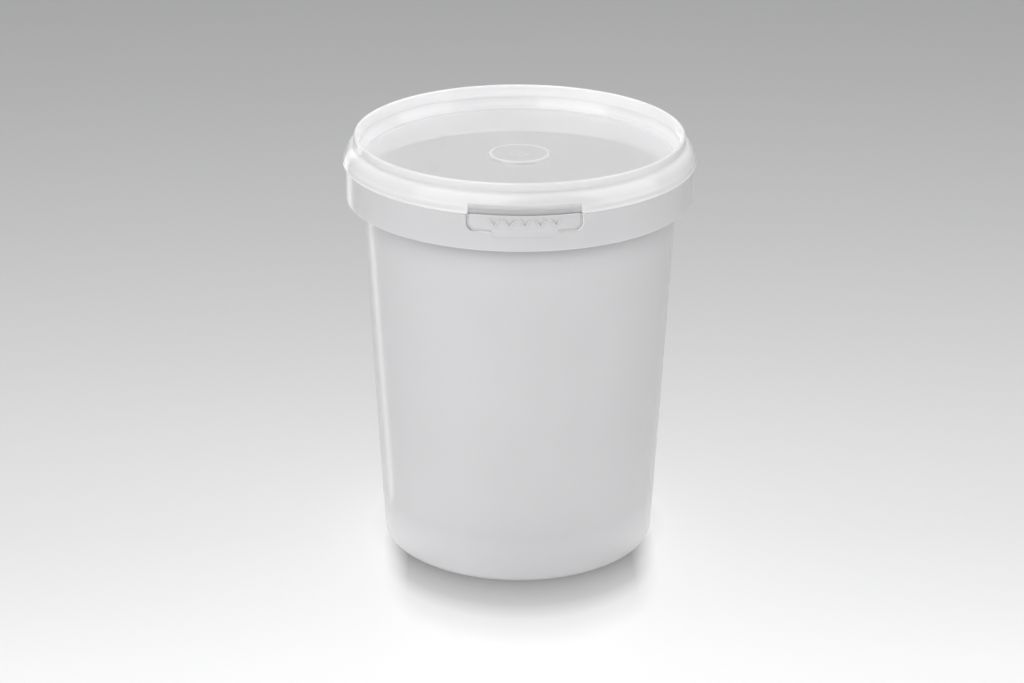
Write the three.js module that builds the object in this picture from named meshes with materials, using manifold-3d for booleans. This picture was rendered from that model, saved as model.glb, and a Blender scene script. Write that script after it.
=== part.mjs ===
// Round press-on-lid tub with a fold-down opening tab in its collar.
// Millimetres, +Z up, origin on the floor under the centre of the base.
// The opening tab is centred on -Y, and angles round the tub are measured from
// there, positive towards +X. IN_R and OUT_R are inner and outer radii.
import * as THREE from 'three';
import Module from 'manifold-3d';

const DEG = Math.PI / 180;
const SEGMENTS = 96;              // facets round every turned surface
const STATION_STEP_DEG = 1.9;     // widest step along a bent plate
const CORNER_STEPS = 6;           // steps over a bent plate's rounded corner
const MIN_STATION_GAP_DEG = 0.05;

// ---- tub dimensions -----------------------------------------------------
const WALL_FLOOR_R = 46.772;      // outer wall radius projected to the floor
const WALL_SLOPE = 0.04927;       // outer wall radius gained per mm of height
const WALL_T = 1.0;
const FOOT_IN_R = 41.9;           // bearing ring, inner edge
const FOOT_OUT_R = 44.295;        // bearing ring, outer edge
const FOOT_CORNER_R = 2.6;        // rounding between the foot and the wall
const FOOT_CORNER_STEPS = 5;
const FOOT_CORNER_FROM_DEG = -90; // straight down
const FOOT_CORNER_TO_DEG = -3;
const BASE_UNDER_Z = 1.4;         // underside of the base inside the foot ring
const BASE_TOP_Z = 2.6;           // inner floor of the tub

const COLLAR_R = 58.2;
const COLLAR_T = 1.0;
const COLLAR_IN_R = COLLAR_R - COLLAR_T;
const COLLAR_BOTTOM_Z = 122.96;
const COLLAR_TOP_Z = 134.6;
const FLANGE_UNDER_Z = 126.4;     // flange that carries the collar off the wall
const FLANGE_TOP_Z = 127.5;
const RIM_TOP_Z = 139.6;
const RIM_BEAD_R = 56.3;
const RIM_START_Z = 129.3;        // outer wall gives way to the rim
const RIM_IN_START_Z = 129.6;     // the same on the inner wall
const INNER_WALL_FOOT_Z = 5.2;    // inner wall starts to round into the floor

// ---- lid dimensions -----------------------------------------------------
const PANEL_TOP_Z = 136.1;
const PANEL_UNDER_Z = 135.0;
const RING_TOP_Z = 144.6;         // stacking ring, overall height
const RING_OUT_R = 55.15;
const RING_IN_R = 54.0;
const LIP_R = 59.0;               // largest radius of the lid
const LIP_BOTTOM_Z = 134.9;
const GATE_R = 10.5;              // raised gate disc in the middle of the panel
const GATE_TOP_Z = PANEL_TOP_Z + 1.1;

// Notch in the lip above the tab: three cuts, one behind the other.
const NOTCH_HALF_DEG = 17.9;
const NOTCH_END_MM = 0.5;         // closely stepped length at each end
const NOTCH_CUTS = [
  // inner radius, outer radius, bottom z, top z
  [58.15, 60.5, 134.0, 138.6],    // flattens the lip's outer face
  [57.7, 60.8, 133.8, 135.95],    // raises the lower edge of that face
  [56.1, 60.9, 133.4, 135.35],    // trims the lower lap behind the face
];

// ---- slot and opening tab dimensions, measured round the collar ---------
const SLOT_HALF_DEG = 18.5;
const SLOT_BOTTOM_Z = 129.35;
const SLOT_TOP_Z = COLLAR_TOP_Z + 1.2;  // runs out past the collar's top edge
const SLOT_CORNER = 3.2;
const SLOT_CHAMFER = 0.5;
const SLOT_IN_R = 56.7;
const SLOT_OVERRUN = 1.2;         // cutter reaches this far outside the collar
const WINDOW_HALF_DEG = 10.4;     // lower part of the slot, for the hinge web
const WINDOW_BOTTOM_Z = 127.85;
const WINDOW_CHAMFER_SHARE = 0.6; // part of the slot chamfer cut below the window
const WINDOW_CLEAR_DEG = WINDOW_HALF_DEG + 0.5;

const TAB_HALF_DEG = 17.65;
const TAB_BOTTOM_Z = 130.15;
const TAB_TOP_Z = 135.05;
const TAB_CORNER = 2.4;
const TAB_LEAN = 0.2;             // the tab's top edge sits this much further in
const TAB_CHAMFER = 0.16;

const TEAR_HALF_DEG = 18.18;      // thinned tear edge behind the groove
const TEAR_BOTTOM_Z = 129.66;
const TEAR_WEB_BOTTOM_Z = TAB_BOTTOM_Z + 0.4;  // its lower edge above the web
const TEAR_TOP_Z = 133.65;
const TEAR_CORNER = SLOT_CORNER - 0.3;
const TEAR_T = 0.6;

const WEB_HALF_DEG = 10.1;
const WEB_BOTTOM_Z = 128.15;
const WEB_TOP_Z = 129.85;
const WEB_T = 0.45;
const WEB_END_MM = 0.5;           // closely stepped length at each end
const WEB_SET_BACK = 0.12;        // web's lower edge, in from the collar face
const WEB_LEAN = 0.4;             // the web's top edge sits this much further in

const BRIDGE_NEAR_DEG = 17.76;    // end next to the tab
const BRIDGE_FAR_DEG = 18.2;
const BRIDGE_IN_R = 57.4;
const BRIDGE_OUT_R = 58.0;
const BRIDGE_BOTTOM_Z = 133.9;
const BRIDGE_TOP_Z = 134.45;

const CHEVRON_COUNT = 5;          // raised pull-down marks on the tab
const CHEVRON_PITCH = 4.9;
const CHEVRON_W = 3.5;
const CHEVRON_H = 3.2;
const CHEVRON_STROKE = 0.85;      // height of the arms' band
const CHEVRON_RAISE = 0.3;
const CHEVRON_IN_R = COLLAR_R - 0.5;    // sunk into the tab
const CHEVRON_MID_Z = (TAB_BOTTOM_Z + TAB_TOP_Z) / 2 - 0.05;

const wallR = (z) => WALL_FLOOR_R + WALL_SLOPE * z;
const tabFaceR = (z) => COLLAR_R - (TAB_LEAN * (z - TAB_BOTTOM_Z)) / (TAB_TOP_Z - TAB_BOTTOM_Z);

// Conversion between angle and length round the collar's outer face.
const toDeg = (mm) => mm / COLLAR_R / DEG;
const toMm = (deg) => deg * DEG * COLLAR_R;

// ---- solid helpers ------------------------------------------------------
const wasm = await Module();
wasm.setup();
const { Manifold, Mesh: ManifoldMesh } = wasm;

// A closed body from flat vertex and triangle lists, turned the right way out.
function solid(verts, tris) {
  const vertex = (i) => new THREE.Vector3().fromArray(verts, 3 * i);
  let volume = 0;
  for (let i = 0; i < tris.length; i += 3) {
    volume += vertex(tris[i]).dot(vertex(tris[i + 1]).cross(vertex(tris[i + 2])));
  }
  if (volume < 0) {
    for (let i = 0; i < tris.length; i += 3) {
      [tris[i + 1], tris[i + 2]] = [tris[i + 2], tris[i + 1]];
    }
  }
  const mesh = new ManifoldMesh({
    numProp: 3,
    vertProperties: new Float32Array(verts),
    triVerts: new Uint32Array(tris),
  });
  mesh.merge();
  return new Manifold(mesh);
}

// Turns a closed [r, z] loop about the Z axis. Points on the axis are shared.
function turned(profile) {
  const verts = [];
  const addVertex = (x, y, z) => {
    verts.push(x, y, z);
    return verts.length / 3 - 1;
  };
  const rows = profile.map(([r, z]) => {
    if (r === 0) return Array(SEGMENTS).fill(addVertex(0, 0, z));
    return Array.from({ length: SEGMENTS }, (_, s) => {
      const angle = (s / SEGMENTS) * 2 * Math.PI;
      return addVertex(r * Math.sin(angle), -r * Math.cos(angle), z);
    });
  });
  const tris = [];
  // Triangles that collapse on the axis are left out.
  const addTriangle = (...corners) => {
    if (new Set(corners).size === 3) tris.push(...corners);
  };
  rows.forEach((row, i) => {
    const next = rows[(i + 1) % rows.length];
    for (let s = 0; s < SEGMENTS; s++) {
      const t = (s + 1) % SEGMENTS;
      addTriangle(row[s], row[t], next[t]);
      addTriangle(row[s], next[t], next[s]);
    }
  });
  return solid(verts, tris);
}

const valueAt = (value, input) => (typeof value === 'function' ? value(input) : value);

// A plate bent round the Z axis, through levels that run from the inside out.
// A level's `bottom` and `top` are heights, or functions of the angle; its `r`
// is a radius, or a function of height. `stations` are angles in degrees at the
// first level. A level with a different `half` angle stretches them to fit, but
// leaves those within `keep` degrees where they are.
function bentPlate(levels, stations) {
  const verts = [];
  const firstHalf = levels[0].half;
  const levelDeg = (deg, { half, keep = 0 }) => {
    const size = Math.abs(deg);
    if (half === firstHalf || size <= keep) return deg;
    return Math.sign(deg) * (keep + ((size - keep) * (half - keep)) / (firstHalf - keep));
  };
  // grid[level][station] holds the bottom and top vertex.
  const grid = levels.map((level) => stations.map((station) => {
    const deg = levelDeg(station, level);
    return [level.bottom, level.top].map((height) => {
      const z = valueAt(height, deg);
      const r = valueAt(level.r, z);
      verts.push(r * Math.sin(deg * DEG), -r * Math.cos(deg * DEG), z);
      return verts.length / 3 - 1;
    });
  }));
  const tris = [];
  const quad = (a, b, c, d) => tris.push(a, b, c, a, c, d);
  const inner = grid[0];
  const outer = grid[grid.length - 1];
  const end = stations.length - 1;
  for (let k = 0; k < end; k++) {
    quad(inner[k][0], inner[k][1], inner[k + 1][1], inner[k + 1][0]);
    quad(outer[k][0], outer[k + 1][0], outer[k + 1][1], outer[k][1]);
  }
  for (let j = 0; j + 1 < grid.length; j++) {
    const near = grid[j];
    const far = grid[j + 1];
    for (let k = 0; k < end; k++) {
      quad(near[k][0], near[k + 1][0], far[k + 1][0], far[k][0]);
      quad(near[k][1], far[k][1], far[k + 1][1], near[k + 1][1]);
    }
    quad(near[0][0], far[0][0], far[0][1], near[0][1]);
    quad(near[end][0], near[end][1], far[end][1], far[end][0]);
  }
  return solid(verts, tris);
}

// Angles from -half to half, close together over the rounded corners, with
// `extraDeg` added on both sides.
function stationsFor(half, cornerMm, extraDeg = []) {
  const cornerDeg = toDeg(cornerMm);
  const flat = half - cornerDeg;
  const angles = [...extraDeg];
  const flatSteps = Math.ceil(flat / STATION_STEP_DEG);
  for (let i = 0; i <= flatSteps; i++) angles.push((flat * i) / flatSteps);
  for (let i = 1; i <= CORNER_STEPS; i++) {
    angles.push(flat + cornerDeg * Math.sin(((i / CORNER_STEPS) * Math.PI) / 2));
  }
  const positive = angles
    .sort((a, b) => a - b)
    .filter((deg, i, all) => i === 0 || deg - all[i - 1] > MIN_STATION_GAP_DEG);
  return [...positive.slice(1).reverse().map((deg) => -deg), ...positive];
}

// Lower edge of a U-shaped outline with rounded bottom corners.
function roundedBottom(half, z, corner) {
  const cornerStart = toMm(half) - corner;
  return (deg) => {
    const over = toMm(Math.abs(deg)) - cornerStart;
    if (over <= 0) return z;
    return z + corner - Math.sqrt(Math.max(corner * corner - over * over, 0));
  };
}

// ---- tub ----------------------------------------------------------------
function footCorner() {
  const sweep = FOOT_CORNER_TO_DEG - FOOT_CORNER_FROM_DEG;
  return Array.from({ length: FOOT_CORNER_STEPS + 1 }, (_, i) => {
    const angle = (FOOT_CORNER_FROM_DEG + (sweep * i) / FOOT_CORNER_STEPS) * DEG;
    return [
      FOOT_OUT_R + FOOT_CORNER_R * Math.cos(angle),
      FOOT_CORNER_R + FOOT_CORNER_R * Math.sin(angle),
    ];
  });
}

// Outlines of the tub as [radius, z], from the axis out, up and back inside.
function tubProfile() {
  const foot = [
    [0, BASE_UNDER_Z],
    [39.6, BASE_UNDER_Z],
    [41.1, 0.35],
    [FOOT_IN_R, 0],
    ...footCorner(),
  ];
  const collar = [
    [wallR(FLANGE_UNDER_Z), FLANGE_UNDER_Z],
    [COLLAR_IN_R, FLANGE_UNDER_Z],
    [COLLAR_IN_R, COLLAR_BOTTOM_Z + 0.3],
    [COLLAR_IN_R + 0.25, COLLAR_BOTTOM_Z],
    [COLLAR_R - 0.3, COLLAR_BOTTOM_Z],
    [COLLAR_R, COLLAR_BOTTOM_Z + 0.35],
    [COLLAR_R, COLLAR_TOP_Z - 0.3],
    [COLLAR_R - 0.25, COLLAR_TOP_Z],
    [COLLAR_IN_R + 0.25, COLLAR_TOP_Z],
    [COLLAR_IN_R, COLLAR_TOP_Z - 0.3],
    [COLLAR_IN_R, FLANGE_TOP_Z],
  ];
  const rim = [
    [wallR(FLANGE_TOP_Z), FLANGE_TOP_Z],
    [wallR(RIM_START_Z), RIM_START_Z],
    [54.5, 131.0],
    [54.65, 134.3],
    [55.6, 134.9],
    [RIM_BEAD_R, 135.7],
    [RIM_BEAD_R, 137.9],
    [55.95, 138.9],
    [55.35, RIM_TOP_Z],
    [54.75, RIM_TOP_Z],
    [54.35, 139.1],
    [53.6, 134.4],
    [53.5, 131.6],
  ];
  const inside = [
    [wallR(RIM_IN_START_Z) - WALL_T, RIM_IN_START_Z],
    [wallR(INNER_WALL_FOOT_Z) - WALL_T, INNER_WALL_FOOT_Z],
    [45.4, 3.6],
    [44.3, 2.85],
    [43.0, BASE_TOP_Z],
    [0, BASE_TOP_Z],
  ];
  return [...foot, ...collar, ...rim, ...inside];
}

// Cutter for the tab's slot in the collar, with an outward chamfer.
function slotCutter() {
  const level = (chamfer, r) => {
    const half = SLOT_HALF_DEG + toDeg(chamfer);
    const sideBottom = roundedBottom(half, SLOT_BOTTOM_Z - chamfer, SLOT_CORNER + chamfer);
    const windowBottom = WINDOW_BOTTOM_Z - chamfer * WINDOW_CHAMFER_SHARE;
    const bottom = (deg) => (
      Math.abs(deg) <= WINDOW_HALF_DEG + 0.1 ? windowBottom : sideBottom(deg)
    );
    return { half, r, keep: WINDOW_CLEAR_DEG, bottom, top: SLOT_TOP_Z };
  };
  // The close pair of extra stations makes the window's steep sides.
  const windowEdges = [WINDOW_HALF_DEG, WINDOW_HALF_DEG + 0.35];
  return bentPlate([
    level(0, SLOT_IN_R),
    level(0, COLLAR_R - SLOT_CHAMFER),
    level(SLOT_CHAMFER, COLLAR_R + 0.02),
    level(SLOT_CHAMFER, COLLAR_R + SLOT_OVERRUN),
  ], stationsFor(SLOT_HALF_DEG, SLOT_CORNER, windowEdges));
}

const buildTub = () => turned(tubProfile()).subtract(slotCutter());

// ---- lid ----------------------------------------------------------------
// Outline of the lid as [radius, z].
const LID_PROFILE = [
  // underside: panel, plug wall, hollow over the rim, inner snap lip
  [0, PANEL_UNDER_Z],
  [52.2, PANEL_UNDER_Z],
  [52.95, 135.3],
  [53.25, 136.0],
  [53.95, 139.5],
  [54.3, 140.15],
  [54.9, 140.45],
  [55.7, 140.3],
  [56.4, 139.7],
  [56.9, 138.7],
  [57.2, 137.5],
  [57.35, 136.5],
  [56.75, 135.85],
  [56.65, 135.35],
  [56.95, LIP_BOTTOM_Z],
  // outside: lip, convex shoulder, neck
  [58.6, LIP_BOTTOM_Z],
  [58.92, 135.08],
  [LIP_R, 135.36],
  [58.8, 135.88],
  [58.74, 136.35],
  [58.52, 137.25],
  [58.2, 138.1],
  [57.75, 139.15],
  [57.15, 140.15],
  [56.45, 140.95],
  [55.8, 141.45],
  [55.3, 141.85],
  // stacking ring and the wall down to the panel
  [RING_OUT_R, 142.3],
  [RING_OUT_R, RING_TOP_Z - 0.55],
  [54.95, RING_TOP_Z - 0.15],
  [54.57, RING_TOP_Z],
  [54.2, RING_TOP_Z - 0.15],
  [RING_IN_R, RING_TOP_Z - 0.55],
  [53.9, 140.35],
  [53.68, 140.05],
  [52.52, 136.85],
  [52.15, 136.35],
  [51.5, PANEL_TOP_Z],
  // gate disc with a small pip
  [GATE_R, PANEL_TOP_Z],
  [GATE_R - 0.25, PANEL_TOP_Z + 0.45],
  [GATE_R - 0.75, GATE_TOP_Z - 0.1],
  [GATE_R - 1.2, GATE_TOP_Z],
  [2.6, GATE_TOP_Z],
  [2.2, GATE_TOP_Z + 0.22],
  [0, GATE_TOP_Z + 0.3],
];

function buildLid() {
  const stations = stationsFor(NOTCH_HALF_DEG, NOTCH_END_MM);
  let lid = turned(LID_PROFILE);
  for (const [innerR, outerR, bottom, top] of NOTCH_CUTS) {
    lid = lid.subtract(bentPlate([
      { r: innerR, bottom, top },
      { r: outerR, bottom, top },
    ], stations));
  }
  return lid;
}

// ---- opening tab --------------------------------------------------------
// The leaning plate, chamfered round its outer face.
function tabPlate() {
  const level = (inset, r) => {
    const half = TAB_HALF_DEG - toDeg(inset);
    const bottom = roundedBottom(half, TAB_BOTTOM_Z + inset, TAB_CORNER - inset);
    return { half, r, bottom, top: TAB_TOP_Z - inset };
  };
  return bentPlate([
    level(0, COLLAR_IN_R),
    level(0, (z) => tabFaceR(z) - TAB_CHAMFER),
    level(TAB_CHAMFER, tabFaceR),
  ], stationsFor(TAB_HALF_DEG, TAB_CORNER));
}

// Thinned edge along the back of the groove, cut short above the hinge web.
function tearEdge() {
  const sideBottom = roundedBottom(TEAR_HALF_DEG, TEAR_BOTTOM_Z, TEAR_CORNER);
  const bottom = (deg) => (
    Math.abs(deg) <= WINDOW_CLEAR_DEG + 0.02 ? TEAR_WEB_BOTTOM_Z : sideBottom(deg)
  );
  const stepEdges = [WINDOW_CLEAR_DEG, WINDOW_CLEAR_DEG + 0.25];
  return bentPlate([
    { r: COLLAR_IN_R, bottom, top: TEAR_TOP_Z },
    { r: COLLAR_IN_R + TEAR_T, bottom, top: TEAR_TOP_Z },
  ], stationsFor(TEAR_HALF_DEG, SLOT_CORNER, stepEdges));
}

// One raised V, pointing down, centred `centre` mm round the collar.
function chevron(centre) {
  const halfW = CHEVRON_W / 2;
  const rise = CHEVRON_H - CHEVRON_STROKE;
  const bottom = (deg) => (
    CHEVRON_MID_Z - CHEVRON_H / 2 + (rise * Math.abs(toMm(deg) - centre)) / halfW
  );
  const top = (deg) => bottom(deg) + CHEVRON_STROKE;
  return bentPlate([
    { r: CHEVRON_IN_R, bottom, top },
    { r: (z) => tabFaceR(z) + CHEVRON_RAISE, bottom, top },
  ], [-halfW, 0, halfW].map((offset) => toDeg(centre + offset)));
}

function buildTab() {
  let tab = tabPlate().add(tearEdge());
  for (let i = 0; i < CHEVRON_COUNT; i++) {
    tab = tab.add(chevron((i - (CHEVRON_COUNT - 1) / 2) * CHEVRON_PITCH));
  }
  return tab;
}

// Thin leaning strip in the window below the tab.
function buildWeb() {
  const heights = { bottom: WEB_BOTTOM_Z, top: WEB_TOP_Z };
  const faceR = (z) => (
    COLLAR_R - WEB_SET_BACK - (WEB_LEAN * (z - WEB_BOTTOM_Z)) / (WEB_TOP_Z - WEB_BOTTOM_Z)
  );
  return bentPlate([
    { r: (z) => faceR(z) - WEB_T, ...heights },
    { r: faceR, ...heights },
  ], stationsFor(WEB_HALF_DEG, WEB_END_MM));
}

// Small block at one end of the tab; side is -1 towards -X, 1 towards +X.
function buildBridge(side) {
  const heights = { bottom: BRIDGE_BOTTOM_Z, top: BRIDGE_TOP_Z };
  const stations = [BRIDGE_NEAR_DEG, (BRIDGE_NEAR_DEG + BRIDGE_FAR_DEG) / 2, BRIDGE_FAR_DEG]
    .map((deg) => side * deg)
    .sort((a, b) => a - b);
  return bentPlate([
    { r: BRIDGE_IN_R, ...heights },
    { r: BRIDGE_OUT_R, ...heights },
  ], stations);
}

// ---- scene --------------------------------------------------------------
function toMesh({ name, body, color, roughness }) {
  const { vertProperties, triVerts } = body.getMesh();
  const geometry = new THREE.BufferGeometry();
  const positions = new Float32Array(vertProperties);
  geometry.setAttribute('position', new THREE.BufferAttribute(positions, 3));
  geometry.setIndex(new THREE.BufferAttribute(new Uint32Array(triVerts), 1));
  geometry.computeVertexNormals();
  const material = new THREE.MeshStandardMaterial({ color, roughness, metalness: 0 });
  const mesh = new THREE.Mesh(geometry, material);
  mesh.name = name;
  return mesh;
}

// Off-white plastics, slightly different in shade and gloss.
const PIECES = [
  { name: 'tub', body: buildTub(), color: 0xeeeef0, roughness: 0.32 },
  { name: 'lid', body: buildLid(), color: 0xf3f3f5, roughness: 0.28 },
  { name: 'opening_tab', body: buildTab(), color: 0xefeff1, roughness: 0.34 },
  { name: 'tab_hinge_web', body: buildWeb(), color: 0xeaeaec, roughness: 0.36 },
  { name: 'break_bridge_left', body: buildBridge(-1), color: 0xe8e8ea, roughness: 0.38 },
  { name: 'break_bridge_right', body: buildBridge(1), color: 0xe9e9eb, roughness: 0.38 },
];

const group = new THREE.Group();
group.name = 'press_lid_tub';
group.add(...PIECES.map(toMesh));

export default group;
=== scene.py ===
"""White moulded tub with a snap-on lid and a pull-down opening tab.

The tub stands on the floor at z = 0 with its axis on Z. The front is -Y, where the tab
sits in a slot in the collar under a notch in the lid; +X is to the right of it.
"""
import math

import bpy
import numpy as np
from mathutils import Matrix, Vector


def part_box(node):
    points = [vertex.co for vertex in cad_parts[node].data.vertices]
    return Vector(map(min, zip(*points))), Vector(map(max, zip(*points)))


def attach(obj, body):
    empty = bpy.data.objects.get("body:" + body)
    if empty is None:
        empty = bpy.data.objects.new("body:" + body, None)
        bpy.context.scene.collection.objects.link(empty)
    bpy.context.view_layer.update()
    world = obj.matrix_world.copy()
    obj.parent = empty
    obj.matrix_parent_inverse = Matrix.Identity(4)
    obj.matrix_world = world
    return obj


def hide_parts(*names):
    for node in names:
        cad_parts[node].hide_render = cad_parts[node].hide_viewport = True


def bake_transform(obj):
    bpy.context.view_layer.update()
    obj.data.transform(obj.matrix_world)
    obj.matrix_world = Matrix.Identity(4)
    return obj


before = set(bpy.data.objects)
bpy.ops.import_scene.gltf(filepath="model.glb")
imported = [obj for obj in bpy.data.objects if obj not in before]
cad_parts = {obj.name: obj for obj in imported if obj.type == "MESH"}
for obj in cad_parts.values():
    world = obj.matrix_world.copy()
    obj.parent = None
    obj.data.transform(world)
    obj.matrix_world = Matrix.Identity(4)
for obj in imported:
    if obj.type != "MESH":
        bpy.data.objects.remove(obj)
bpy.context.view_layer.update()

MM = 0.001
DEG = math.pi / 180

# ---------------------------------------------------------------------------
# Dimensions: millimetres, and degrees either side of the front
# ---------------------------------------------------------------------------
lid_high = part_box("lid")[1]
tub_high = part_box("tub")[1]
LIP_R = lid_high.x / MM                  # largest radius of the lid
LID_TOP = lid_high.z / MM                # top of the stacking ring
COLLAR_R = tub_high.x / MM               # collar, outer face
RIM_TOP = tub_high.z / MM
TAB_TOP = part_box("opening_tab")[1].z / MM

COLLAR_IN = COLLAR_R - 1.0               # collar, inner face
COLLAR_LOW = 122.96
COLLAR_TOP = 134.78
COLLAR_OUTER_START = 126.2               # where the outer face begins to follow the slot
COLLAR_INNER_START = 127.62              # the same on the inner face
FLANGE_LOW = 126.4                       # flange between the wall and the collar
FLANGE_TOP = 127.5

LIP_LOW = 134.9
LID_UNDER = 135.0                        # underside of the lid's panel
PANEL_Z = 136.1
NOTCH_R = COLLAR_R - 0.05
NOTCH_HALF = 17.9
NOTCH_LOW = 135.95
NOTCH_FADE = 136.9                       # height above which the lip keeps its own height
LAP_R = 57.72                            # lap behind the notch's lower edge
LAP_LOW = 135.07

TAB_HALF = 17.65
TAB_LOW = 130.15
SLOT_HALF = 18.5
SLOT_LOW = 129.35
WINDOW_HALF = 10.4                       # deeper middle part of the slot, for the hinge
WINDOW_LOW = 127.85
WEB_HALF = 10.39
BRIDGE_SPAN = (17.69, 18.46)
BRIDGE_LOW, BRIDGE_TOP = 133.84, 134.84
SKIRT_DEPTH = 0.31                       # how far the torn edge lies below the tab's face


def wall_radius(z):
    """Outer radius of the tapered wall."""
    return 46.772 + 0.04927 * z


def along_collar(degrees):
    return degrees * DEG * COLLAR_R


def degrees_round(along):
    return along / COLLAR_R / DEG


# ---------------------------------------------------------------------------
# Profile and mesh helpers
# ---------------------------------------------------------------------------
def ease(x):
    x = np.clip(x, 0, 1)
    return x * x * (3 - 2 * x)


def rounded(corners, step_deg=11.0, support=0.35):
    """Turn (across, z, rounding) corners into a polyline of arcs. A support point on
    either side of each arc keeps the shading of the flats flat."""
    points = [np.array(corner[:2], float) for corner in corners]
    line = [tuple(points[0])]
    for before, point, after, corner in zip(points, points[1:], points[2:], corners[1:]):
        to_before, to_after = before - point, after - point
        length_before, length_after = np.linalg.norm(to_before), np.linalg.norm(to_after)
        to_before, to_after = to_before / length_before, to_after / length_after
        angle = math.acos(float(np.clip(to_before @ to_after, -1, 1)))
        turn = math.pi - angle
        if corner[2] <= 0 or turn < 0.01:
            line.append(tuple(point))
            continue
        # a rounding too large for its neighbouring sides is reduced
        setback = min(corner[2] / math.tan(angle / 2), 0.46 * min(length_before, length_after))
        radius = setback * math.tan(angle / 2)
        middle = to_before + to_after
        middle /= np.linalg.norm(middle)
        centre = point + middle * (radius / math.sin(angle / 2))
        start, end = point + to_before * setback, point + to_after * setback
        steps = max(2, int(math.ceil(turn / DEG / step_deg)))
        first = math.atan2(*(start - centre)[::-1])
        last = math.atan2(*(end - centre)[::-1])
        sweep = (last - first + math.pi) % (2 * math.pi) - math.pi
        if length_before - setback > 2.2 * support:
            line.append(tuple(start + to_before * support))
        for i in range(steps + 1):
            at = first + sweep * i / steps
            line.append((centre[0] + radius * math.cos(at), centre[1] + radius * math.sin(at)))
        if length_after - setback > 2.2 * support:
            line.append(tuple(end + to_after * support))
    line.append(tuple(points[-1]))
    return line


def spline(points, per_span):
    """Uniform Catmull-Rom curve through the points."""
    points = [np.array(point, float) for point in points]
    points = [2 * points[0] - points[1]] + points + [2 * points[-1] - points[-2]]
    line = []
    for p0, p1, p2, p3 in zip(points, points[1:], points[2:], points[3:]):
        for i in range(per_span):
            t = i / per_span
            line.append(tuple(0.5 * (2 * p1 + (p2 - p0) * t
                                     + (2 * p0 - 5 * p1 + 4 * p2 - p3) * t * t
                                     + (3 * p1 - p0 - 3 * p2 + p3) * t ** 3)))
    line.append(tuple(points[-2]))
    return line


def cylinder_points(radius, degrees, z):
    """Points in metres from millimetres; degrees run from -Y towards +X."""
    angle = np.asarray(degrees) * DEG
    return np.stack([radius * np.sin(angle) * MM, -radius * np.cos(angle) * MM,
                     np.asarray(z) * MM + 0 * angle], -1)


def signed_volume(mesh):
    mesh.calc_loop_triangles()
    places = np.array([v.co for v in mesh.vertices], float)
    corners = np.array([t.vertices for t in mesh.loop_triangles])
    first, second, third = (places[corners[:, i]] for i in range(3))
    return float(np.einsum("ij,ij->i", first, np.cross(second, third)).sum() / 6)


def make_object(name, verts, faces, sharp_deg):
    """Smooth-shaded object with its normals outwards and edges sharp above sharp_deg."""
    mesh = bpy.data.meshes.new(name)
    mesh.from_pydata([tuple(v) for v in verts], [], faces)
    mesh.validate(clean_customdata=False)
    mesh.update()
    if signed_volume(mesh) < 0:
        mesh.flip_normals()
    mesh.polygons.foreach_set("use_smooth", [True] * len(mesh.polygons))
    mesh.set_sharp_from_angle(angle=sharp_deg * DEG)
    ob = bpy.data.objects.new(name, mesh)
    bpy.context.scene.collection.objects.link(ob)
    return ob


def make_turned(name, rows, first_z, last_z, sharp_deg):
    """Solid from rows of points, each a ring round Z. The first and last rows close on
    points of the axis."""
    rows = np.array(rows)
    row_count, columns = rows.shape[:2]
    verts = list(rows.reshape(-1, 3))
    faces = []
    for j in range(row_count - 1):
        for k in range(columns):
            m = (k + 1) % columns
            faces.append((j * columns + k, j * columns + m,
                          (j + 1) * columns + m, (j + 1) * columns + k))
    for end, z in ((0, first_z), (row_count - 1, last_z)):
        verts.append((0.0, 0.0, z * MM))
        centre = len(verts) - 1
        for k in range(columns):
            face = (end * columns + k, end * columns + (k + 1) % columns, centre)
            faces.append(face if end else face[::-1])
    return make_object(name, verts, faces, sharp_deg)


# ---------------------------------------------------------------------------
# Tub: body, base, rim and collar with the tab's slot let into it
# ---------------------------------------------------------------------------
def collar_edge():
    """Upper edge of the front of the collar, dipping round the tab. Returns its points
    (along the collar, z), their normals into the plastic, the width and depth of the
    bevel on the outer face, and the distances along the line."""
    side = along_collar(SLOT_HALF)
    window = along_collar(WINDOW_HALF)
    right_half = [                       # along the collar, z, rounding
        (0.0, WINDOW_LOW, 0),
        (window, WINDOW_LOW, 0.45),
        (window, SLOT_LOW, 0.25),
        (side, SLOT_LOW, 3.2),
        (side, COLLAR_TOP, 0.62),
        (27.0, COLLAR_TOP, 0),
    ]
    left_half = [(-along, z, rounding) for along, z, rounding in reversed(right_half[1:])]
    line = np.array(rounded(left_half + right_half, step_deg=9.0, support=0.25))
    # respace the points evenly
    lengths = np.linalg.norm(np.diff(line, axis=0), axis=1)
    measured = np.concatenate([[0], np.cumsum(lengths)])
    distances = np.linspace(0, measured[-1], int(measured[-1] / 0.24) + 1)
    line = np.stack([np.interp(distances, measured, line[:, i]) for i in range(2)], 1)
    tangent = np.gradient(line, axis=0)
    tangent /= np.linalg.norm(tangent, axis=1)[:, None]
    normal = np.stack([tangent[:, 1], -tangent[:, 0]], 1)

    # bevel: widest beside the tab, narrower at the window and past the slot
    aside, z = np.abs(line[:, 0]), line[:, 1]
    width, depth = np.full(len(line), 0.42), np.full(len(line), 0.33)
    in_window = (aside < window + 0.1) & (z < SLOT_LOW - 0.25)
    for where, new_width, new_depth in (
        (aside < window + 0.5, 0.16, 0.20),
        (aside > side + 1.4, 0.12, 0.12),
        (in_window, 0.04, 0.04),
    ):
        width = np.where(where, new_width, width)
        depth = np.where(where, new_depth, depth)
    average = np.ones(7) / 7
    width, depth = (np.convolve(np.pad(values, 3, mode="edge"), average, mode="valid")
                    for values in (width, depth))
    return line, normal, width, depth, distances


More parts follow.
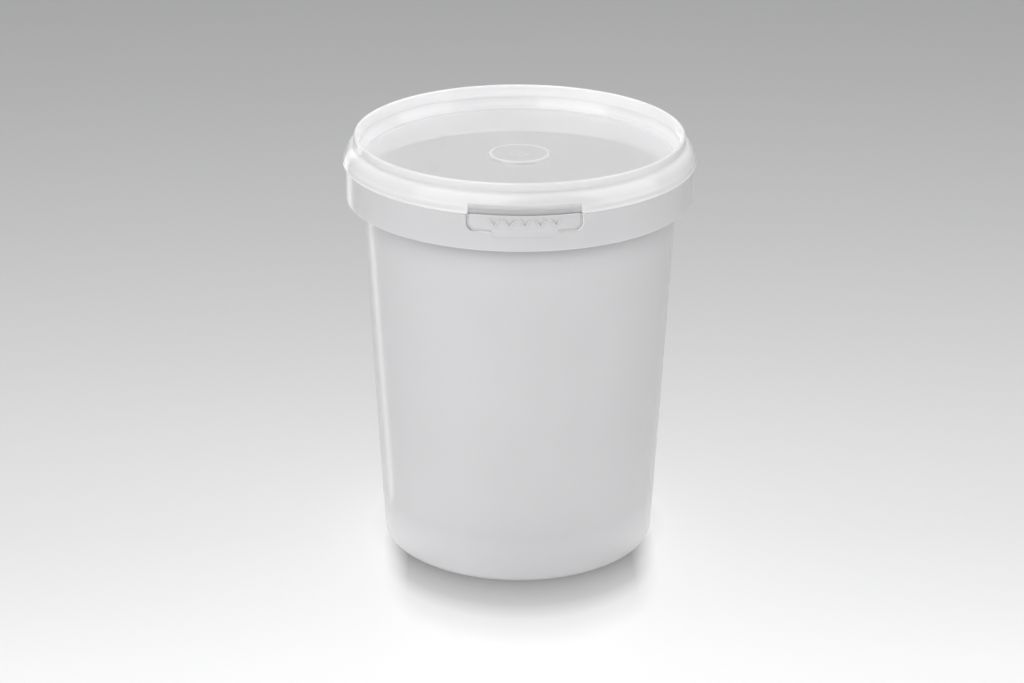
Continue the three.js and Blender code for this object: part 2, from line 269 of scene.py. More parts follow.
def spread_columns(inset_along, distances):
    """Lower ends of the front columns: straight below their upper ends, or spread
    sideways where several would fall together, so that none cross."""
    count = len(distances)
    half = (count + 1) // 2
    lower = inset_along[:half].copy()
    if count % 2:
        lower[-1] = 0.0
    for i in range(half - 2, -1, -1):
        lower[i] = min(lower[i], lower[i + 1] - 0.3 * (distances[i + 1] - distances[i]))
    return np.concatenate([lower, -lower[::-1][count % 2:]])


def build_tub():
    line, normal, width, depth, distances = collar_edge()
    line_start = degrees_round(line[0, 0])
    rest = np.linspace(-line_start, 360 + line_start, 231)[1:-1]   # degrees, behind the line

    def all_round(front, value):
        return np.concatenate([front, np.full(len(rest), value)])

    edge_along = np.concatenate([line[:, 0], along_collar(rest)])
    edge_z = all_round(line[:, 1], COLLAR_TOP)
    normal_along = all_round(normal[:, 0], 0.0)
    normal_z = all_round(normal[:, 1], -1.0)
    width = all_round(width, width[0])
    depth = all_round(depth, depth[0])

    def inset(distance):
        return edge_along + normal_along * distance, edge_z + normal_z * distance

    outer_along, outer_z = inset(width)
    base_deg = np.concatenate([degrees_round(spread_columns(outer_along, distances)), rest])

    # radius, z, rounding: from the centre of the base, outside, up to the collar
    under = rounded([
        (3.2, 1.25, 0), (3.6, 0.9, 0.25), (4.4, 0.9, 0.25), (4.9, 1.4, 0.3),
        (33.6, 1.4, 0.3), (34.0, 1.15, 0.3), (35.0, 1.15, 0.3), (35.4, 1.4, 0.3),
        (39.6, 1.4, 1.0), (41.1, 0.35, 0.6), (41.9, 0.0, 0.25), (44.9, 0.0, 2.2),
        (46.75, 0.9, 2.2),
        (wall_radius(3.6), 3.6, 1.2),
        (wall_radius(FLANGE_LOW), FLANGE_LOW, 0.5),
        (COLLAR_IN, FLANGE_LOW, 0.5),
        (COLLAR_IN, COLLAR_LOW, 0.3),
        (COLLAR_R, COLLAR_LOW, 0.42),
        (COLLAR_R, COLLAR_OUTER_START, 0),
    ])
    # radius, z, rounding: from inside the collar, over the rim, down to the inner base
    over = rounded([
        (COLLAR_IN, COLLAR_INNER_START, 0),
        (COLLAR_IN, FLANGE_TOP, 0.1),
        (wall_radius(FLANGE_TOP), FLANGE_TOP, 0.5),
        (wall_radius(129.2), 129.2, 0.8),
        (54.5, 131.0, 0.8), (54.65, 134.4, 0.4), (56.3, 135.5, 0.5), (56.3, 138.2, 0.8),
        (55.4, RIM_TOP, 0.45),
        (54.75, RIM_TOP, 0.35),
        (54.3, 138.9, 0.6), (53.6, 134.4, 0.8), (53.5, 131.4, 0.9),
        (wall_radius(129.4) - 1.0, 129.4, 0.9),
        (wall_radius(5.2) - 1.0, 5.2, 0),
        (45.6, 3.6, 1.4), (43.4, 2.6, 1.4), (4.0, 2.6, 0), (0.8, 2.6, 0),
    ])
    rows = []

    def add_profile(profile):
        rows.extend(cylinder_points(radius, base_deg, z) for radius, z in profile)

    def add_face(radius, fractions, start_z, end_along, end_z):
        """Rows of a collar face, going over from level at start_z to the edge's shape."""
        end_deg = degrees_round(end_along)
        for f in fractions:
            degrees = base_deg + (end_deg - base_deg) * ease(f)
            rows.append(cylinder_points(radius, degrees, start_z + (end_z - start_z) * f))

    def add_edge(radius, distance):
        along, z = inset(distance)
        rows.append(cylinder_points(radius, degrees_round(along), z))

    add_profile(under)
    add_face(COLLAR_R, (0.12, 0.25, 0.38, 0.5, 0.62, 0.73, 0.82, 0.9, 0.96),
             COLLAR_OUTER_START, outer_along, outer_z)
    # outer bevel: eased in over the first third, then straight
    for across in (0.0, 0.1, 0.2, 0.3, 0.5, 0.75, 0.97, 1.0):
        fall = across * across / 0.6 if across < 0.3 else across - 0.15
        add_edge(COLLAR_R - depth * fall / 0.85, width * (1 - across))
    inner_rounding = 0.1
    for angle in np.linspace(90, 0, 4):
        add_edge(COLLAR_IN + inner_rounding * (1 - math.cos(angle * DEG)),
                 inner_rounding * (1 - math.sin(angle * DEG)))
    add_face(COLLAR_IN, (0.9, 0.7, 0.5, 0.3, 0.12), COLLAR_INNER_START, *inset(inner_rounding))
    add_profile(over)
    return make_turned("tub_body", rows, first_z=1.25, last_z=2.6, sharp_deg=50)


# ---------------------------------------------------------------------------
# Lid
# ---------------------------------------------------------------------------
def lid_profile():
    # radius, z, rounding: underside, from the axis to the lip
    under = rounded([
        (0.8, LID_UNDER, 0), (52.2, LID_UNDER, 0.5), (53.1, 135.35, 0.4), (53.95, 139.6, 0.4),
        (54.75, 140.45, 0.5), (55.9, 140.3, 0.8), (56.9, 138.8, 1.2), (57.35, 136.45, 0.4),
        (56.65, 135.75, 0.3),
        (56.65, LIP_LOW, 0.12),
        (57.5, LIP_LOW, 0),
        (LAP_R - 0.03, LIP_LOW, 0),
        (LAP_R + 0.01, LIP_LOW, 0),
        (LAP_R + 0.14, LIP_LOW, 0),
        (58.2, LIP_LOW, 0),
        (LIP_R - 0.30, LIP_LOW, 0.18),
    ])
    # radius, z: outside of the lip and the shoulder above it
    shoulder = spline([
        (LIP_R - 0.13, 135.0), (LIP_R - 0.01, 135.25), (LIP_R - 0.04, 135.55),
        (LIP_R - 0.19, 135.86), (LIP_R - 0.24, 136.15), (LIP_R - 0.28, 136.6),
        (LIP_R - 0.45, 137.25), (58.22, 138.05), (57.78, 139.1), (57.18, 140.1),
        (56.46, 140.95), (55.88, 141.42),
    ], per_span=6)
    # radius, z, rounding: stacking ring, panel and the raised ring round its middle
    top = rounded([
        (*shoulder[-1], 0),
        (55.2, 141.75, 0.6), (55.15, 143.2, 0),
        (55.15, LID_TOP, 0.5),
        (54.0, LID_TOP, 0.42),
        (53.93, 140.32, 0.18), (53.74, 140.12, 0.2), (52.55, 136.8, 0.7),
        (51.6, PANEL_Z, 0.9), (48.6, PANEL_Z, 0), (47.9, PANEL_Z, 0), (30.0, PANEL_Z, 0),
        (11.5, PANEL_Z, 0), (10.55, PANEL_Z, 0.25),
        (10.2, PANEL_Z + 0.86, 0.3), (9.3, PANEL_Z + 1.1, 0.5), (8.6, PANEL_Z + 0.8, 0.5),
        (3.4, PANEL_Z + 0.8, 0.6), (2.5, PANEL_Z + 0.98, 0.3), (1.2, PANEL_Z + 1.02, 0),
        (0.6, PANEL_Z + 0.9, 0),
    ], step_deg=9)
    return under + shoulder + top[1:]


def cut_notch(radius, z, inside):
    """Move a profile point to the notch's face and lower edge where inside is 1."""
    if radius <= 56.0 or z >= 139.2:
        return radius, z
    new_radius, new_z = radius, z
    if radius > 57.6:
        # soft minimum of the profile and the face, with a slight remaining slope
        softness = 0.014
        face = NOTCH_R - 0.07 - 0.43 * float(ease((138.4 - z) / 2.4))
        held = face - softness * math.log(math.exp(-(radius - face) / softness) + 1.0)
        new_radius = radius + (held + 0.01 * (radius - 57.6) - radius) * inside
    if z < NOTCH_FADE:
        low = NOTCH_LOW if radius > LAP_R else LAP_LOW
        raised = low + (z - LIP_LOW) * (NOTCH_FADE - low) / (NOTCH_FADE - LIP_LOW)
        new_z = z + (raised - z) * inside
    return new_radius, new_z


def build_lid():
    # columns in degrees, close together at the sides of the notch
    right = np.concatenate([np.linspace(0, 16.9, 20),
                            np.linspace(-0.7, 0.7, 21) + NOTCH_HALF,
                            np.linspace(19.0, 180, 145)])
    degrees = np.concatenate([-right[::-1], right[1:-1]])
    inside = ease((NOTCH_HALF + 0.16 - np.abs(degrees)) / 0.3)
    rows = []
    for point in lid_profile():
        radius, z = cut_notch(*point, inside)
        rows.append(cylinder_points(radius, degrees, z))
    return make_turned("lid_shell", rows, first_z=LID_UNDER, last_z=PANEL_Z + 0.88, sharp_deg=55)


# ---------------------------------------------------------------------------
# Curved plates: tab, web, bridges
# ---------------------------------------------------------------------------
def bent_plate(name, stations, low_edge, high_edge, face_radius, thickness,
               front_round, back_round, rows, relief=None, skirt=None):
    """A plate bent round the collar's axis; stations are mm along the collar. The front
    face is a fine grid, raised by relief(along, z); rings of rounding run back from its
    edge. skirt(along, z) is the width of a thin edge standing out behind the face."""
    columns = len(stations)
    low, high = low_edge(stations), high_edge(stations)
    even = np.linspace(0, 1, rows + 1)
    share = ease(even) * 0.4 + even * 0.6
    grid_along = np.repeat(stations[None, :], rows + 1, 0)
    grid_z = low[None, :] + (high - low)[None, :] * share[:, None]
    # border of the grid: bottom, right, top, left
    border = ([(0, k) for k in range(columns)]
              + [(j, columns - 1) for j in range(1, rows + 1)]
              + [(rows, k) for k in range(columns - 2, -1, -1)]
              + [(j, 0) for j in range(rows - 1, 0, -1)])
    border_j, border_k = np.array(border).T
    border_index = border_j * columns + border_k
    along, z = grid_along[border_j, border_k], grid_z[border_j, border_k]
    tangent_along = np.roll(along, -1) - np.roll(along, 1)
    tangent_z = np.roll(z, -1) - np.roll(z, 1)
    length = np.hypot(tangent_along, tangent_z)
    normal_along, normal_z = tangent_z / length, -tangent_along / length
    verts, faces = [], []

    def add_points(along, z, radius):
        start = len(verts)
        verts.extend(cylinder_points(radius, degrees_round(along), z).reshape(-1, 3))
        return start

    def add_sheet(start, backwards):
        for j in range(rows):
            for k in range(columns - 1):
                a = start + j * columns + k
                face = (a, a + 1, a + 1 + columns, a + columns)
                faces.append((face[0], *face[:0:-1]) if backwards else face)

    def join(ring, following):
        for i in range(len(border)):
            m = (i + 1) % len(border)
            faces.append((ring[i], following[i], following[m], ring[m]))

    face = face_radius(grid_along, grid_z)
    front = add_points(grid_along, grid_z, face if relief is None else
                       face + relief(grid_along, grid_z))
    add_sheet(front, backwards=False)

    # rings: outward growth, height against the face, share of the skirt's width
    rings = [(front_round * math.sin(angle * DEG),
              -front_round * (1 - math.cos(angle * DEG)), 0.0)
             for angle in np.linspace(0, 90, 6)[1:]]
    skirt_width = 0.0
    if skirt is not None:
        skirt_width = skirt(along, z)
        rings += [
            (front_round, -SKIRT_DEPTH + 0.05, 0.0),
            (front_round + 0.01, -SKIRT_DEPTH + 0.01, 0.08),
            (front_round, -SKIRT_DEPTH, 0.3),
            (front_round, -SKIRT_DEPTH - 0.01, 0.7),
            (front_round, -SKIRT_DEPTH - 0.02, 0.94),
            (front_round, -SKIRT_DEPTH - 0.06, 1.0),
            (front_round, -thickness + 0.16, 1.0),
        ]
    rings += [(front_round - back_round + back_round * math.sin(angle * DEG),
               -thickness + back_round * (1 - math.cos(angle * DEG)), 1.0)
              for angle in np.linspace(90, 0, 5)[:-1]]
    border_face = face_radius(along, z)
    ring = front + border_index
    for growth, height, skirt_share in rings:
        out = growth + skirt_width * skirt_share
        start = add_points(along + normal_along * out, z + normal_z * out, border_face + height)
        following = np.arange(start, start + len(border))
        join(ring, following)
        ring = following
    back = add_points(grid_along, grid_z, face - thickness)
    join(ring, back + border_index)
    add_sheet(back, backwards=True)
    return make_object(name, verts, faces, sharp_deg=45)


def corner_stations(half, corner, flat_step):
    """Stations from -half to half, closing up over the corner at each end."""
    flat = half - corner
    count = max(2, int(round(flat / flat_step)))
    curved = flat + corner * np.sin(np.linspace(0, 1, 9)[1:] * math.pi / 2)
    right = np.concatenate([np.linspace(0, flat, count + 1), curved])
    return np.concatenate([-right[::-1], right[1:]])


def level(z):
    return lambda along: np.full_like(along, z)


def chevron_relief(along, z):
    """Height in mm of the row of raised chevrons pointing down."""
    count, pitch = 5, 4.9
    half_width, half_height, stroke = 1.8, 1.65, 0.95
    raised = 0.55
    middle = (TAB_LOW + TAB_TOP) / 2 - 0.05
    slope = (2 * half_height - stroke) / half_width
    slant = math.hypot(1, slope)
    relief = np.zeros_like(along)
    for i in range(count):
        aside = np.abs(along - (i - (count - 1) / 2) * pitch)
        low = middle - half_height + slope * aside
        # distance inside the stroke, measured square to it
        depth = np.minimum((z - low) / slant, (low + stroke - z) / slant)
        depth = np.minimum(depth, half_width - aside)
        relief = np.maximum(relief, raised * ease((depth + 0.05) / 0.24))
    return relief


def torn_edge_width(along, z):
    """Width of the thin torn edge round the tab; none over the hinge or at the top."""
    aside = np.abs(along)
    beside_hinge = ease((aside - along_collar(WINDOW_HALF) + 0.14) / 0.14)
    full = 0.815 + 0.055 * ease((aside - 15.2) / 2.0)
    return full * beside_hinge * ease((133.78 - z) / 0.15)


def build_tab():
    rounding = 0.22
    half = along_collar(TAB_HALF) - rounding
    low_corner = 2.4 - rounding
    high_corner = 0.25

    def corner_rise(along, corner):
        over = np.clip(np.abs(along) - (half - corner), 0, corner)
        return np.sqrt(corner ** 2 - over ** 2)

    def low_edge(along):
        return TAB_LOW + rounding + low_corner - corner_rise(along, low_corner)

    def high_edge(along):
        return TAB_TOP - rounding - high_corner + corner_rise(along, high_corner)

    def face_radius(along, z):
        """The face leans in by 0.2 mm towards the top."""
        return COLLAR_R - 0.2 * (z - TAB_LOW) / (TAB_TOP - TAB_LOW)

    return bent_plate("tab_plate", corner_stations(half, low_corner, flat_step=0.1),
                      low_edge, high_edge, face_radius, thickness=0.98,
                      front_round=rounding, back_round=0.12, rows=50,
                      relief=chevron_relief, skirt=torn_edge_width)


def build_web():
    """Thin hinge between the bottom of the window and the tab."""
    rounding = 0.03
    low, high = WINDOW_LOW + 0.01, TAB_LOW - 0.01

    def face_radius(along, z):
        return COLLAR_R - 0.02 - 0.36 * ease((z - low) / (high - low))

    return bent_plate("hinge_web",
                      corner_stations(along_collar(WEB_HALF), corner=0.12, flat_step=0.5),
                      level(low + rounding), level(high - rounding), face_radius,
                      thickness=0.45, front_round=rounding, back_round=rounding, rows=16)


def build_bridge(name, side):
    """Small plate across the gap beside the tab's top; side is -1 left, 1 right."""
    rounding = 0.06
    start, end = sorted(along_collar(degrees) * side for degrees in BRIDGE_SPAN)
    return bent_plate(name, np.linspace(start + rounding, end - rounding, 7),
                      level(BRIDGE_LOW + rounding), level(BRIDGE_TOP - rounding),
                      lambda along, z: np.full_like(along, COLLAR_R - SKIRT_DEPTH),
                      thickness=0.55, front_round=rounding, back_round=0.05, rows=4)


tub = build_tub()
lid = build_lid()
tab = build_tab()
web = build_web()
left_bridge = build_bridge("bridge_left", -1)
right_bridge = build_bridge("bridge_right", 1)

# ---------------------------------------------------------------------------
# Materials. Places are in metres; spans are (start, end) pairs.
# ---------------------------------------------------------------------------
RISE = (0.0, 1.0)
FALL = (1.0, 0.0)
PANEL_EDGE = (0.0510, 0.0526)            # radii over which the lid's panel ends


class Shader:
    """A material's node tree, with short calls for the nodes used here."""

    def __init__(self, name):
        self.material = bpy.data.materials.new(name)
        self.material.use_nodes = True
        self.tree = self.material.node_tree
        self.tree.nodes.clear()
        self.output = self.add("OutputMaterial")
        self.surface = self.add("BsdfPrincipled")

    def put(self, node, inputs):
        """Link or set each input, by name or number."""
        for key, value in inputs.items():
            if isinstance(value, bpy.types.NodeSocket):
                self.tree.links.new(value, node.inputs[key])
            else:
                node.inputs[key].default_value = value

    def add(self, kind, inputs=None, **settings):
        node = self.tree.nodes.new("ShaderNode" + kind)
        for key, value in settings.items():
            setattr(node, key, value)
        self.put(node, inputs or {})
        return node

    def maths(self, operation, first, second=0.0):
        return self.add("Math", {0: first, 1: second}, operation=operation).outputs[0]

    def product(self, first, *others):
        for other in others:
            first = self.maths("MULTIPLY", first, other)
        return first

    def remap(self, value, span, to=RISE):
        return self.add("MapRange", {"From Min": span[0], "From Max": span[1],
                                     "To Min": to[0], "To Max": to[1],
                                     "Value": value}).outputs["Result"]

    def noise(self, vector, **inputs):
        return self.add("TexNoise", {"Vector": vector, **inputs}).outputs["Fac"]

    def ramp(self, value, stops):
        """Colour ramp through (position, (red, green, blue)) stops."""
        node = self.add("ValToRGB", {"Fac": value})
        elements = node.color_ramp.elements
        while len(elements) < len(stops):
            elements.new(0.5)
        for element, (position, colour) in zip(elements, stops):
            element.position = position
            element.color = (*colour, 1)
        return node.outputs["Color"]

    def tint(self, colour, factor):
        node = self.add("Mix", {"Factor": 1.0, "A": colour, "B": factor},
                        data_type="RGBA", blend_type="MULTIPLY")
        return node.outputs["Result"]

    def occlusion(self, distance, samples):
        return self.add("AmbientOcclusion", {"Distance": distance}, samples=samples).outputs["AO"]


class Plastic(Shader):
    """White moulded polypropylene: clouded colour, uneven gloss, faint ripple, very
    fine grain, light scattering in the wall, and painted shade that darkens the creases."""

    def __init__(self, name):
        super().__init__(name)
        self.put(self.output, {0: self.surface.outputs[0]})
        self.place = self.add("TexCoord").outputs["Object"]
        axes = self.add("SeparateXYZ", {0: self.place}).outputs
        self.x, self.y, self.height = axes["X"], axes["Y"], axes["Z"]
        squares = self.maths("ADD", self.product(self.x, self.x), self.product(self.y, self.y))
        self.radius = self.maths("SQRT", squares)

    def painted_crease_shade(self, reach, darkening, mask):
        # painted shade: ambient occlusion darkens the colour in creases and recesses
        hidden = self.maths("SUBTRACT", 1.0, self.occlusion(reach, samples=6))
        return self.maths("SUBTRACT", 1.0, self.product(hidden, mask, darkening))

    def finish(self, tone, colour, roughness, scatter, scatter_scale, grain, ripple,
               mottle=0.14, polish=None):
        """Complete the surface. tone scales the colour with painted shade and light; mottle is
        the share by which roughness varies; grain and ripple are bump heights; polish scales
        roughness."""
        clouding = 0.012
        cloud = self.noise(self.place, Scale=28.0, Detail=4.0, Roughness=0.55)
        colour = np.array(colour)
        clouded = self.ramp(cloud, [(0.3, colour * (1 - clouding)),
                                    (0.72, colour * (1 + clouding))])
        gloss = self.remap(self.noise(self.place, Scale=260.0, Detail=3.0), (0.3, 0.7),
                           (roughness * (1 - mottle), roughness * (1 + mottle)))
        if polish is not None:
            gloss = self.product(gloss, polish)
        # bump: slow ripple stretched along the height, then the grain
        stretched = self.add("Mapping", {"Vector": self.place, "Scale": (1, 1, 0.35)})
        slow = self.noise(stretched.outputs["Vector"], Scale=60.0, Detail=1.0)
        rippled = self.add("Bump", {"Strength": 1.0, "Distance": ripple, "Height": slow})
        fine = self.noise(self.place, Scale=2600.0, Detail=2.0)
        grained = self.add("Bump", {"Strength": 1.0, "Distance": grain, "Height": fine,
                                    "Normal": rippled.outputs["Normal"]})
        self.put(self.surface, {
            "Base Color": self.tint(clouded, tone),
            "Roughness": gloss,
            "Normal": grained.outputs["Normal"],
            "IOR": 1.49,
            "Subsurface Weight": scatter,
            "Subsurface Scale": scatter_scale,
            "Subsurface Radius": (1.0, 1.0, 1.0),
        })
        return self.material


def tub_painted_shade_and_light(plastic, reach, darkening, fade_height, above):
    """Painted crease shade of the tub's plastic, which keeps the share above from fade_height up.
    Painted light makes the foot a little lighter."""
    height = plastic.height
    mask = plastic.product(plastic.remap(height, (0.03, 0.06)),
                           plastic.remap(height, (fade_height, fade_height + 0.0006),
                                         (1.0, above)))
    # painted crease shade, times two ramps of painted light that lighten the foot
    return plastic.product(plastic.painted_crease_shade(reach, darkening, mask),
                           plastic.remap(height, (0.006, 0.050), (1.055, 1.0)),
                           plastic.remap(height, (0.001, 0.017), (1.22, 1.0)))


def tub_plastic():
    tub = Plastic("tub_polypropylene")
    # painted shade under the collar's overhang and in creases; painted light at the foot
    tone = tub_painted_shade_and_light(tub, reach=0.014, darkening=0.80, fade_height=0.1226, above=0.08)
    # painted highlight on the outer edge of the slot's bevel, lighter towards the right
    edge = tub.product(tub.remap(tub.radius, (0.05760, 0.05775)),
                       tub.remap(tub.radius, (0.05800, 0.05818), FALL),
                       tub.remap(tub.height, (0.1275, 0.1280)),
                       tub.remap(tub.x, (-0.0178, -0.0130), (-0.05, 0.42)))
    tone = tub.product(tone, tub.maths("ADD", 1.0, edge))
    return tub.finish(tone, colour=(0.690, 0.686, 0.697), roughness=0.22, scatter=0.35,
                      scatter_scale=0.0016, grain=0.0000008, ripple=0.000008)


def lid_plastic():
    lid = Plastic("lid_polypropylene")
    x, y, height, radius = lid.x, lid.y, lid.height, lid.radius
    # painted shade in the creases of the lip and the notch
    tone = lid.painted_crease_shade(reach=0.003, darkening=0.25, mask=lid.remap(radius, (0.0560, 0.0566)))
    # painted shade: the thin panel over the hollow tub is darkened in colour
    tone = lid.product(tone, lid.remap(radius, PANEL_EDGE, (0.665, 1.0)))
    # painted highlight: the raised ring round the middle, lighter
    painted_ring_highlight = lid.product(lid.remap(radius, (0.0089, 0.0093), (0.0, 0.10)),
                              lid.remap(radius, (0.0106, 0.0109), FALL))
    tone = lid.product(tone, lid.maths("ADD", 1.0, painted_ring_highlight))
    # painted shade: the stacking ring above the shoulder, and its top edge, darker
    painted_neck_shade = lid.product(lid.remap(height, (0.1411, 0.1417), (0.0, 0.11)),
                       lid.remap(radius, (0.0543, 0.0548), (0.35, 1.0)))
    tone = lid.product(tone, lid.maths("SUBTRACT", 1.0, painted_neck_shade),
                       lid.remap(height, (0.1440, 0.1445), (1.0, 0.86)))
    # the notch over the tab lies in the shade of the lid's shoulder
    aside = lid.maths("ABSOLUTE", x)
    notch = lid.product(lid.remap(aside, (0.01785, 0.01800), FALL),
                        lid.remap(height, (0.13815, 0.13840), FALL),
                        lid.remap(radius, (0.0570, 0.0574)),
                        lid.remap(y, (-0.045, -0.040), FALL),
                        lid.remap(height, (0.1354, 0.1376), (0.32, 0.19)),
                        lid.remap(aside, (0.0150, 0.0174), (1.0, 0.35)))
    tone = lid.product(tone, lid.maths("SUBTRACT", 1.0, notch))
    # painted glow: emission stands in for light coming through the free-standing stacking ring
    glow_strength = 0.185
    painted_ring_glow = lid.product(lid.remap(radius, (0.0521, 0.0532)),
                       lid.remap(radius, (0.0542, 0.0546), FALL),
                       lid.remap(height, (0.1393, 0.1443), (1.1, 0.45)), glow_strength)
    lid.put(lid.surface, {"Emission Color": (1.0, 0.992, 1.0, 1), "Emission Strength": painted_ring_glow})
    # painted light: the lid's colour is set lighter than the tub's, brightening the shoulder in
    # place of its highlights
    return lid.finish(tone, colour=(0.870, 0.864, 0.876), roughness=0.075, scatter=0.75,
                      scatter_scale=lid.remap(height, (0.1375, 0.1415), (0.0026, 0.0040)),
                      grain=0.0000004, ripple=0.000003,
                      polish=lid.remap(radius, PANEL_EDGE, (0.3, 1.0)))


def tab_plastic():
    tab = Plastic("tab_polypropylene")
    # painted shade in the groove round the tab
    tone = tub_painted_shade_and_light(tab, reach=0.0015, darkening=0.28, fade_height=0.15, above=1.0)
    # painted shade: the torn edge deep in the groove is darkened in colour
    tone = tab.product(tone, tab.remap(tab.radius, (0.05790, 0.05797), (0.905, 1.0)))
    return tab.finish(tone, colour=(0.694, 0.690, 0.701), roughness=0.24, scatter=0.30,
                      scatter_scale=0.0012, grain=0.000001, ripple=0.000004, mottle=0.05)


def web_plastic():
    web = Plastic("web_polypropylene")
    tone = tub_painted_shade_and_light(web, reach=0.0015, darkening=0.0, fade_height=0.15, above=1.0)
    # painted light: the web's colour is a little lighter than the tub's, for its upward-facing
    # slope
    return web.finish(tone, colour=(0.712, 0.708, 0.719), roughness=0.28, scatter=0.0,
                      scatter_scale=0.0009, grain=0.0000004, ripple=0.000001, mottle=0.02)


tub_material = tub_plastic()
lid_material = lid_plastic()
tab_material = tab_plastic()
web_material = web_plastic()

for ob, material, body, slot_name, node in (
    (tub, tub_material, "tub", "tub_plastic", "tub"),
    (lid, lid_material, "lid", "lid_plastic", "lid"),
    (tab, tab_material, "tab", "tub_plastic", "opening_tab"),
    (left_bridge, tab_material, "tab", "tub_plastic", "break_bridge_left"),
    (right_bridge, tab_material, "tab", "tub_plastic", "break_bridge_right"),
):
    ob.data.materials.append(material)
    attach(ob, body)
    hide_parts(node)

web.data.materials.append(web_material)
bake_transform(web)
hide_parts("tab_hinge_web")
for name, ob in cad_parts.items():
    ob.data.materials.clear()
    ob.data.materials.append(lid_material if name == "lid" else tub_material)

# ---------------------------------------------------------------------------
# Floor
# ---------------------------------------------------------------------------
# painted fall-off of light along +Y: y in metres, linear grey
FLOOR_SPAN = (-0.2, 0.8)
FLOOR_STOPS = [
    (-0.20, 0.80), (-0.10, 0.733), (-0.059, 0.682), (-0.007, 0.631), (0.07, 0.592),
    (0.16, 0.545), (0.217, 0.520), (0.306, 0.483), (0.412, 0.455), (0.555, 0.425),
    (0.684, 0.414), (0.78, 0.41),
]
# shade in front of the foot: foot radius, reach, and (share of reach, brightness)
SHADE_R = 0.0469
SHADE_REACH = 0.044
SHADE_STOPS = [
    (0.0, 0.38), (0.1, 0.405), (0.145, 0.43), (0.35, 0.56), (0.59, 0.84), (0.75, 0.90),
    (0.9, 0.965), (1.0, 1.0),
]


def floor_material():
    """Pale floor, with painted shade darkening it towards the back, seen only from above."""
    floor = Shader("studio_floor")
    geometry = floor.add("NewGeometry").outputs
    axes = floor.add("SeparateXYZ", {0: geometry["Position"]}).outputs
    x, y = axes["X"], axes["Y"]
    length = FLOOR_SPAN[1] - FLOOR_SPAN[0]
    grey = floor.ramp(floor.remap(y, FLOOR_SPAN),
                      [((stop - FLOOR_SPAN[0]) / length, (value, value, value * 1.004))
                       for stop, value in FLOOR_STOPS])
    unevenness = floor.remap(floor.noise(geometry["Position"], Scale=9.0), RISE, (0.995, 1.005))
    grey = floor.tint(grey, unevenness)

    # the shade the tub throws on the floor in front of its foot
    square = floor.maths("SUBTRACT", SHADE_R ** 2, floor.product(x, x))
    chord = floor.maths("SQRT", floor.maths("MAXIMUM", square, 0.0))
    ahead = floor.maths("SUBTRACT", floor.product(y, -1.0), chord)
    fade = floor.ramp(floor.remap(ahead, (0.0, SHADE_REACH)),
                      [(share, (value, value, value)) for share, value in SHADE_STOPS])
    side_span = (SHADE_R - 0.0085, SHADE_R + 0.0004)
    weight = floor.product(floor.remap(floor.maths("ABSOLUTE", x), side_span, FALL),
                           floor.remap(y, (-0.012, 0.0), FALL))
    dark = floor.product(floor.maths("SUBTRACT", 1.0, fade), weight)
    # painted shade: soft darkening where the tub touches the floor
    painted_contact_shade = floor.remap(floor.occlusion(0.006, samples=8), RISE, (0.8, 1.0))
    shade = floor.product(painted_contact_shade, floor.maths("SUBTRACT", 1.0, dark))
    floor.put(floor.surface, {"Base Color": floor.tint(grey, shade),
                              "Roughness": 0.22, "Specular IOR Level": 0.5})
    one_sided = floor.add("MixShader", {0: geometry["Backfacing"],
                                        1: floor.surface.outputs[0],
                                        2: floor.add("BsdfTransparent").outputs[0]})
    floor.put(floor.output, {0: one_sided.outputs[0]})
    return floor.material


floor_mesh = bpy.data.meshes.new("floor")
floor_mesh.from_pydata([(-6, -4, 0), (6, -4, 0), (6, 8, 0), (-6, 8, 0)], [], [(0, 1, 2, 3)])
floor = bpy.data.objects.new("floor", floor_mesh)
bpy.context.scene.collection.objects.link(floor)
floor_mesh.materials.append(floor_material())

# ---------------------------------------------------------------------------
# World and lights. The product and the floor have their own lights, so that the
# floor stays even.
# ---------------------------------------------------------------------------
world = bpy.data.worlds.new("studio")
bpy.context.scene.world = world
world.use_nodes = True
background = world.node_tree.nodes["Background"]
background.inputs["Color"].default_value = (0.62, 0.62, 0.63, 1)
background.inputs["Strength"].default_value = 0.8
world.cycles_visibility.diffuse = False

on_object = bpy.data.collections.new("lit_by_object_lights")
on_floor = bpy.data.collections.new("lit_by_floor_lights")
on_floor.objects.link(floor)
for ob in (tub, lid, tab, web, left_bridge, right_bridge):
    on_object.objects.link(ob)


def area_light(name, location, target, width, height, power, receivers):
    lamp = bpy.data.lights.new(name, "AREA")
    lamp.shape = "RECTANGLE"
    lamp.size = width
    lamp.size_y = height
    lamp.energy = power
    ob = bpy.data.objects.new(name, lamp)
    bpy.context.scene.collection.objects.link(ob)
    ob.location = location
    ob.rotation_mode = "QUATERNION"
    aim = Vector(target) - Vector(location)
    ob.rotation_quaternion = aim.to_track_quat("-Z", "Y")
    ob.visible_camera = False
    ob.light_linking.receiver_collection = receivers
    return ob


# name, location, target, width, height (metres), power (watts)
SOFT_BOXES = [
    ("top_box", (0.0, 0.15, 1.2), (0, 0, 0.05), 0.6, 0.6, 10.9),
    ("back_box", (0.0, 0.9, 1.0), (0, 0, 0.05), 1.4, 0.8, 2.2),
    ("front_box", (0.0, -1.2, 1.0), (0, 0, 0.08), 1.0, 0.6, 7.0),
    ("front_low", (0.0, -1.6, 0.35), (0, 0, 0.08), 2.0, 0.5, 6.4),
    ("left_low", (-1.2, -0.2, 0.3), (0, 0, 0.08), 0.8, 0.5, 4.2),
    ("right_low", (1.2, 0.0, 0.3), (0, 0, 0.08), 0.8, 0.5, 2.2),
    ("left_back", (-0.9, 0.6, 0.5), (0, 0, 0.08), 0.7, 0.7, 1.1),
    ("right_back", (0.9, 0.6, 0.5), (0, 0, 0.08), 0.7, 0.7, 1.5),
]
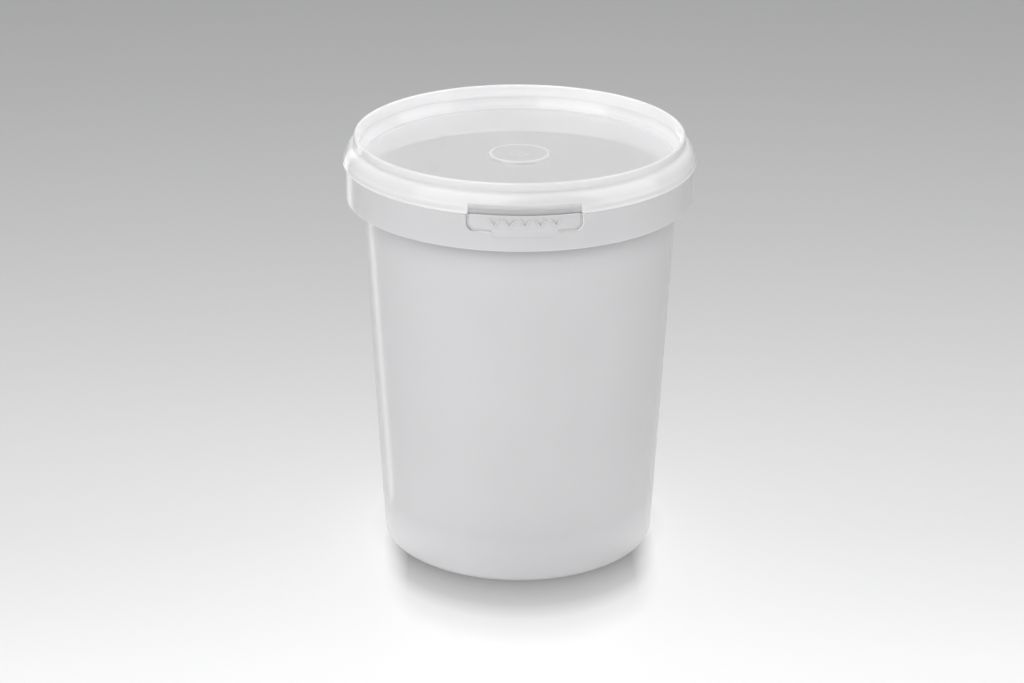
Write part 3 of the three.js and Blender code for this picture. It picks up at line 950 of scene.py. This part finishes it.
# panels that are only seen as reflections in the gloss
REFLECTED_PANELS = [
    ("left_window", (-0.60, -0.60, 0.90), (0, 0, 0.12), 1.2, 1.1, 9.4),
    ("right_window", (0.95, -0.25, 0.75), (0, 0, 0.12), 0.95, 1.1, 6.1),
    ("left_strip", (-0.067, 0.007, 0.072), (-0.047, -0.019, 0.072), 0.007, 0.155, 0.0034),
]
for row in SOFT_BOXES:
    area_light(*row, receivers=on_object).visible_glossy = False
for row in REFLECTED_PANELS:
    area_light(*row, receivers=on_object).visible_diffuse = False
floor_fill = area_light("floor_fill", (0.0, -0.35, 1.6), (0, 0, 0.0), width=2.0, height=1.6,
                        power=49.3, receivers=on_floor)
floor_fill.data.use_shadow = False
floor_fill.visible_glossy = False

# ---------------------------------------------------------------------------
# Camera: looks down from the front, then is turned about the tub's axis
# ---------------------------------------------------------------------------
AZIMUTH = 1.64 * DEG                     # turn about Z, towards -X
ELEVATION = 22.181 * DEG
ROLL = 0.202 * DEG
DISTANCE = 871.27                        # mm from the point aimed at
AIM_X, AIM_Z = -2.301, 68.874            # mm, before the turn
FOCAL_LENGTH = 88.966406                 # mm, on a sensor 36 mm wide


def camera_matrix():
    cos_el, sin_el = math.cos(ELEVATION), math.sin(ELEVATION)
    place = np.array([AIM_X, -DISTANCE * cos_el, AIM_Z + DISTANCE * sin_el]) * MM
    forward = np.array([0, cos_el, -sin_el])
    level_right = np.array([1.0, 0, 0])
    level_up = np.cross(level_right, forward)
    right = math.cos(ROLL) * level_right + math.sin(ROLL) * level_up
    up = -math.sin(ROLL) * level_right + math.cos(ROLL) * level_up
    turn = np.array([[math.cos(AZIMUTH), math.sin(AZIMUTH), 0],
                     [-math.sin(AZIMUTH), math.cos(AZIMUTH), 0],
                     [0, 0, 1.0]])
    matrix = np.eye(4)
    matrix[:3] = np.stack([turn @ right, turn @ up, -(turn @ forward), turn @ place], 1)
    return Matrix(matrix.tolist())


camera_data = bpy.data.cameras.new("camera")
camera_data.sensor_fit = "HORIZONTAL"
camera_data.sensor_width = 36.0
camera_data.lens = FOCAL_LENGTH
camera_data.clip_start = 0.01
camera_data.clip_end = 50
camera = bpy.data.objects.new("camera", camera_data)
bpy.context.scene.collection.objects.link(camera)
camera.matrix_world = camera_matrix()

# ---------------------------------------------------------------------------
# Render settings
# ---------------------------------------------------------------------------
scene = bpy.context.scene
scene.camera = camera
scene.view_settings.view_transform = "Standard"
scene.view_settings.look = "None"
scene.view_settings.exposure = 0.0
scene.view_settings.gamma = 1.0
scene.cycles.use_denoising = True
scene.cycles.max_bounces = 10
scene.cycles.diffuse_bounces = 6
scene.cycles.glossy_bounces = 5
scene.cycles.transmission_bounces = 4
scene.cycles.seed = 7
